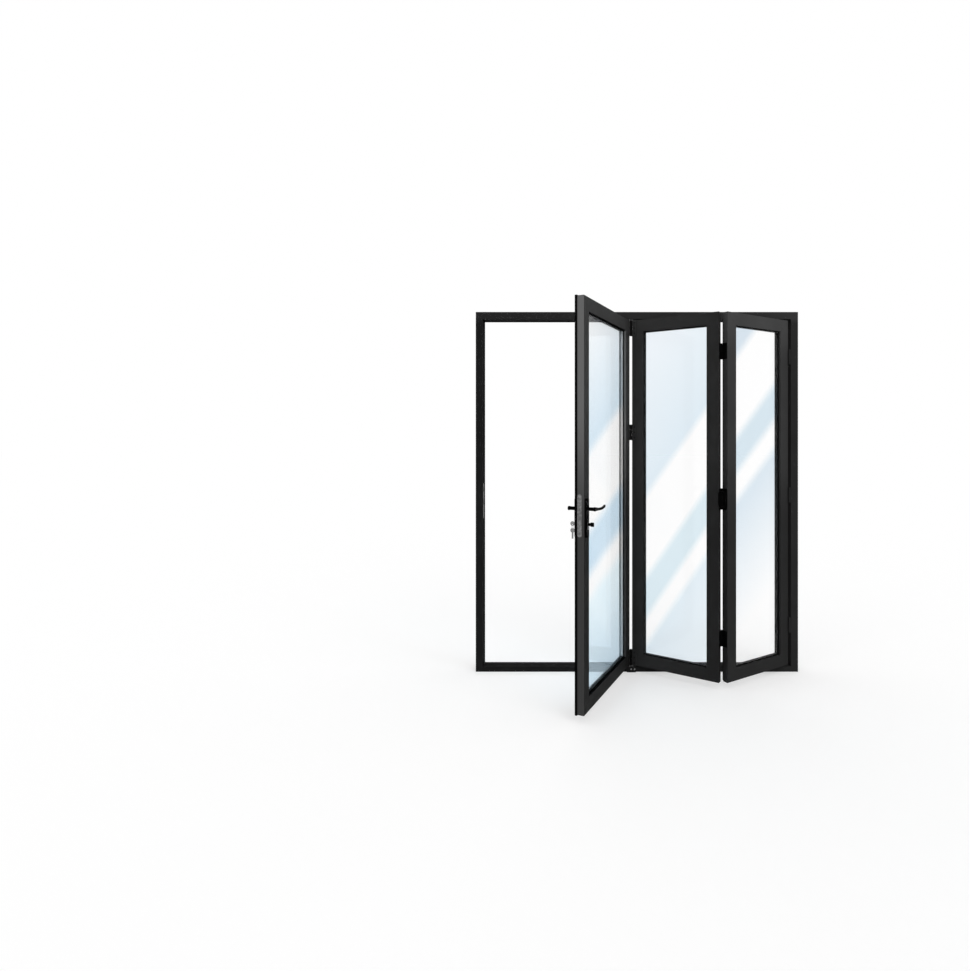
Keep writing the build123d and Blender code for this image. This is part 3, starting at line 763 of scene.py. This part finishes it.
for name, node in nodes.items():
    for slot in node.material_slots:
        slot.material = node_material(name)


# Pieces
def add_piece(name, mesh, body, finish):
    """A finished mesh as a piece of the door that moves with one of its bodies."""
    data = bpy.data.meshes.new(name)
    bmesh.ops.recalc_face_normals(mesh, faces=mesh.faces)
    mesh.to_mesh(data)
    mesh.free()
    data.materials.append(finish)
    piece = bpy.data.objects.new(name, data)
    scene.collection.objects.link(piece)
    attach(piece, body)
    return piece


def rounded(piece, sharp):
    """Smooth shading, but for edges that turn by more than an angle."""
    piece.data.shade_smooth()
    piece.data.set_sharp_from_angle(angle=radians(sharp))


# A corner of a run: the place that the profile is measured from, and the direction of its insets
Corner = namedtuple("Corner", "place inset")


def run(mesh, profile, corners, inward, closed):
    """A profile of (inset, depth) points, swept from corner to corner with mitres."""
    loops = [
        [
            mesh.verts.new(corner.place + corner.inset * inset + inward * depth)
            for inset, depth in profile
        ]
        for corner in corners
    ]
    pairs = list(zip(loops, loops[1:]))
    if closed:
        pairs.append((loops[-1], loops[0]))
    else:
        mesh.faces.new(loops[0])
        mesh.faces.new(loops[-1])
    for near, far in pairs:
        for index in range(len(profile)):
            following = (index + 1) % len(profile)
            mesh.faces.new((near[index], near[following], far[following], far[index]))


def leaf_corners(leaf):
    """The four corners of a leaf, for a run that goes round it."""
    return [
        Corner(place(leaf, 0, 0, leaf.low), leaf.along + upward),
        Corner(place(leaf, leaf.width, 0, leaf.low), upward - leaf.along),
        Corner(place(leaf, leaf.width, 0, leaf.high), -leaf.along - upward),
        Corner(place(leaf, 0, 0, leaf.high), leaf.along - upward),
    ]


def spacer(leaf):
    """Folded spacer bar between the two panes, all the way round."""
    mesh = bmesh.new()
    run(mesh, spacer_profile, leaf_corners(leaf), leaf.inward, closed=True)
    add_piece(f"{leaf.name}_spacer", mesh, leaf_body[leaf.name], spacers[leaf.name])


def bead(leaf):
    """Glazing bead with its rounded inner edge and the shadow gap round it."""
    mesh = bmesh.new()
    run(mesh, bead_profile, leaf_corners(leaf), leaf.inward, closed=True)
    body = leaf_body[leaf.name]
    piece = add_piece(f"{leaf.name}_bead", mesh, body, coats[leaf.name])
    rounded(piece, bead_sharp)
    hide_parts(f"{leaf.name}_beads")


for leaf in leaves.values():
    spacer(leaf)
    bead(leaf)

# Ribbed rubber seal on the frame's stop, up one jamb, across the head and down the other
opening_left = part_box("frame_left_jamb")[0].x + frame_face
opening_right = -opening_left
opening_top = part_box("frame_head")[0].z + stop_height
opening_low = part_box("frame_sill")[1].z
stop_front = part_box("frame_head")[1].y - stop_depth
seal_corners = [
    Corner(Vector((opening_left, stop_front, opening_low)), sideways),
    Corner(Vector((opening_left, stop_front, opening_top)), sideways - upward),
    Corner(Vector((opening_right, stop_front, opening_top)), -sideways - upward),
    Corner(Vector((opening_right, stop_front, opening_low)), -sideways),
]
mesh = bmesh.new()
run(mesh, frame_seal_profile, seal_corners, forward, closed=False)
rounded(add_piece("frame_seal", mesh, "frame", black_rubber), seal_sharp)


# A screw head: where it sits, the way it looks and its radius
Screw = namedtuple("Screw", "place outward radius")


def recess_radius(turn, arm, half_width):
    """Distance from the middle to the outline of a cross recess, at an angle."""
    off_arm = abs((turn + pi / 4) % (pi / 2) - pi / 4)
    end = arm / cos(off_arm)
    return end if off_arm == 0 else min(end, half_width / sin(off_arm))


def screw_head(mesh, screw):
    """Slightly domed head with a cross recess, sunk to its rim."""
    side = screw.outward.orthogonal().normalized()
    other = screw.outward.cross(side)
    size = screw.radius
    turns = [2 * pi * index / screw_points for index in range(screw_points)]
    recess = [recess_radius(turn, cross_arm * size, cross_half * size) for turn in turns]
    rings = (
        ([size] * screw_points, -head_sunk),
        ([size] * screw_points, head_stand),
        ([dome_rim * size] * screw_points, dome_rise * size),
        (recess, dome_top * size),
        ([cross_floor * radius for radius in recess], -cross_depth * size),
    )
    ways = [side * cos(turn) + other * sin(turn) for turn in turns]
    loops = []
    for radii, height in rings:
        base = screw.place + screw.outward * height
        loops.append([mesh.verts.new(base + way * radius) for way, radius in zip(ways, radii)])
    for near, far in zip(loops, loops[1:]):
        for index in range(screw_points):
            following = (index + 1) % screw_points
            mesh.faces.new((near[index], near[following], far[following], far[index]))
    mesh.faces.new(loops[0])
    mesh.faces.new(loops[-1])


def screws(name, body, finish, places):
    """Screw heads of one body and finish."""
    mesh = bmesh.new()
    for screw in places:
        screw_head(mesh, screw)
    rounded(add_piece(name, mesh, body, finish), screw_sharp)


def hinge_screws(half, leaf, direction):
    """The three screws of one flap of each swing hinge."""
    pivot_across = (swing_pivot - leaf.origin).dot(leaf.along)
    across = pivot_across + direction * hinge_screw_offset
    found = []
    for level in ("top", "middle", "bottom"):
        low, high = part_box(f"swing_hinge_{level}_{half}")
        for step in (-1, 0, 1):
            height = (low.z + high.z) / 2 + step * hinge_screw_pitch
            spot = place(leaf, across, -hinge_flap, height)
            found.append(Screw(spot, -leaf.inward, hinge_screw_radius))
    return found


backplate_faces = (
    (backplate_front, -swing_leaf.inward),
    (backplate_back, swing_leaf.inward),
)
backplate_screw_places = [
    Screw(place(swing_leaf, handle_across, depth, height), outward, plate_screw_radius)
    for depth, outward in backplate_faces
    for height in backplate_screws
]
faceplate_screw_places = [
    Screw(
        place(swing_leaf, -faceplate_stand, swing_leaf.thickness / 2, height),
        -swing_leaf.along,
        plate_screw_radius,
    )
    for height in faceplate_screws
]
keep_low, keep_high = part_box("lock_keep")
keep_middle = (keep_low + keep_high) / 2
keep_screw_places = [
    Screw(Vector((keep_high.x, keep_middle.y, height)), sideways, plate_screw_radius)
    for height in faceplate_screws
]
guide_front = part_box("bottom_guide")[0].y
guide_screw_places = [
    Screw(
        Vector((swing_pivot.x + across, guide_front, guide_screw_level)),
        forward,
        guide_screw_radius,
    )
    for across in guide_screws
]
leaf_screw_places = hinge_screws("moving", swing_leaf, -1) + backplate_screw_places
fixed_screw_places = hinge_screws("fixed", middle_leaf, 1)
screws("swing_leaf_screws", "swing_leaf", enamel, leaf_screw_places)
screws("hinge_screws", "frame", enamel, fixed_screw_places)
screws("faceplate_screws", "swing_leaf", steel, faceplate_screw_places)
screws("keep_screws", "frame", steel, keep_screw_places)
screws("guide_screws", "frame", bright_steel, guide_screw_places)

# Camera
camera_data = bpy.data.cameras.new("camera")
camera = bpy.data.objects.new("camera", camera_data)
scene.collection.objects.link(camera)
camera.location = camera_place
camera.rotation_euler = (pi / 2, 0, 0)
camera_data.sensor_width = sensor
camera_data.lens = sensor * focal_pixels / picture_height
camera_data.shift_x = (picture_width / 2 - principal_x) / picture_height
camera_data.shift_y = (principal_y - picture_height / 2) / picture_height
scene.camera = camera


# Stage: a plain pale floor and a white surround
def sun_share(turn):
    """How squarely a lamp with a turn shines on the floor, as a share of a white floor's light."""
    return cos(radians(turn[0])) / pi


floor_light = dome_level + key_level * sun_share(key_turn) + fill_level * sun_share(fill_turn)
floor_glow = 1 - floor_albedo * floor_light


def seen_rays(tree):
    """One where a ray comes from the camera, a mirror or through glass, and zero elsewhere."""
    rays = tree.nodes.new("ShaderNodeLightPath")
    total = rays.outputs["Is Camera Ray"]
    for other in ("Is Glossy Ray", "Is Transmission Ray"):
        total = calculate(tree, "MAXIMUM", total, rays.outputs[other])
    return total


def floor_finish():
    """Pale floor that shows as white where nothing shades it."""
    made = bpy.data.materials.new("floor")
    made.use_nodes = True
    tree = made.node_tree
    tree.nodes.clear()
    diffuse = tree.nodes.new("ShaderNodeBsdfDiffuse")
    diffuse.inputs["Color"].default_value = (floor_albedo, floor_albedo, floor_albedo, 1)
    glow = tree.nodes.new("ShaderNodeEmission")
    strength = calculate(tree, "MULTIPLY", seen_rays(tree), floor_glow)
    tree.links.new(strength, glow.inputs["Strength"])
    both = tree.nodes.new("ShaderNodeAddShader")
    output = tree.nodes.new("ShaderNodeOutputMaterial")
    tree.links.new(diffuse.outputs["BSDF"], both.inputs[0])
    tree.links.new(glow.outputs["Emission"], both.inputs[1])
    tree.links.new(both.outputs["Shader"], output.inputs["Surface"])
    return made


half = floor_size / 2
floor_corners = [(-half, -half, 0), (half, -half, 0), (half, half, 0), (-half, half, 0)]
floor_mesh = bpy.data.meshes.new("floor")
floor_mesh.from_pydata(floor_corners, [], [(0, 1, 2, 3)])
floor_mesh.materials.append(floor_finish())
floor = bpy.data.objects.new("floor", floor_mesh)
scene.collection.objects.link(floor)

world = bpy.data.worlds.new("surround")
world.use_nodes = True
scene.world = world
tree = world.node_tree
tree.nodes.clear()
dome = tree.nodes.new("ShaderNodeBackground")
dome.inputs["Strength"].default_value = dome_level
white = tree.nodes.new("ShaderNodeBackground")
for background in (dome, white):
    background.inputs["Color"].default_value = (1, 1, 1, 1)
mix = tree.nodes.new("ShaderNodeMixShader")
output = tree.nodes.new("ShaderNodeOutputWorld")
tree.links.new(seen_rays(tree), mix.inputs["Fac"])
tree.links.new(dome.outputs["Background"], mix.inputs[1])
tree.links.new(white.outputs["Background"], mix.inputs[2])
tree.links.new(mix.outputs["Shader"], output.inputs["Surface"])


def sun(name, level, turn):
    """Soft distant lamp."""
    data = bpy.data.lights.new(name, "SUN")
    data.energy = level
    data.angle = radians(lamp_softness)
    lamp = bpy.data.objects.new(name, data)
    lamp.rotation_euler = [radians(angle) for angle in turn]
    scene.collection.objects.link(lamp)


sun("key", key_level, key_turn)
sun("fill", fill_level, fill_turn)

scene.view_settings.view_transform = "Standard"
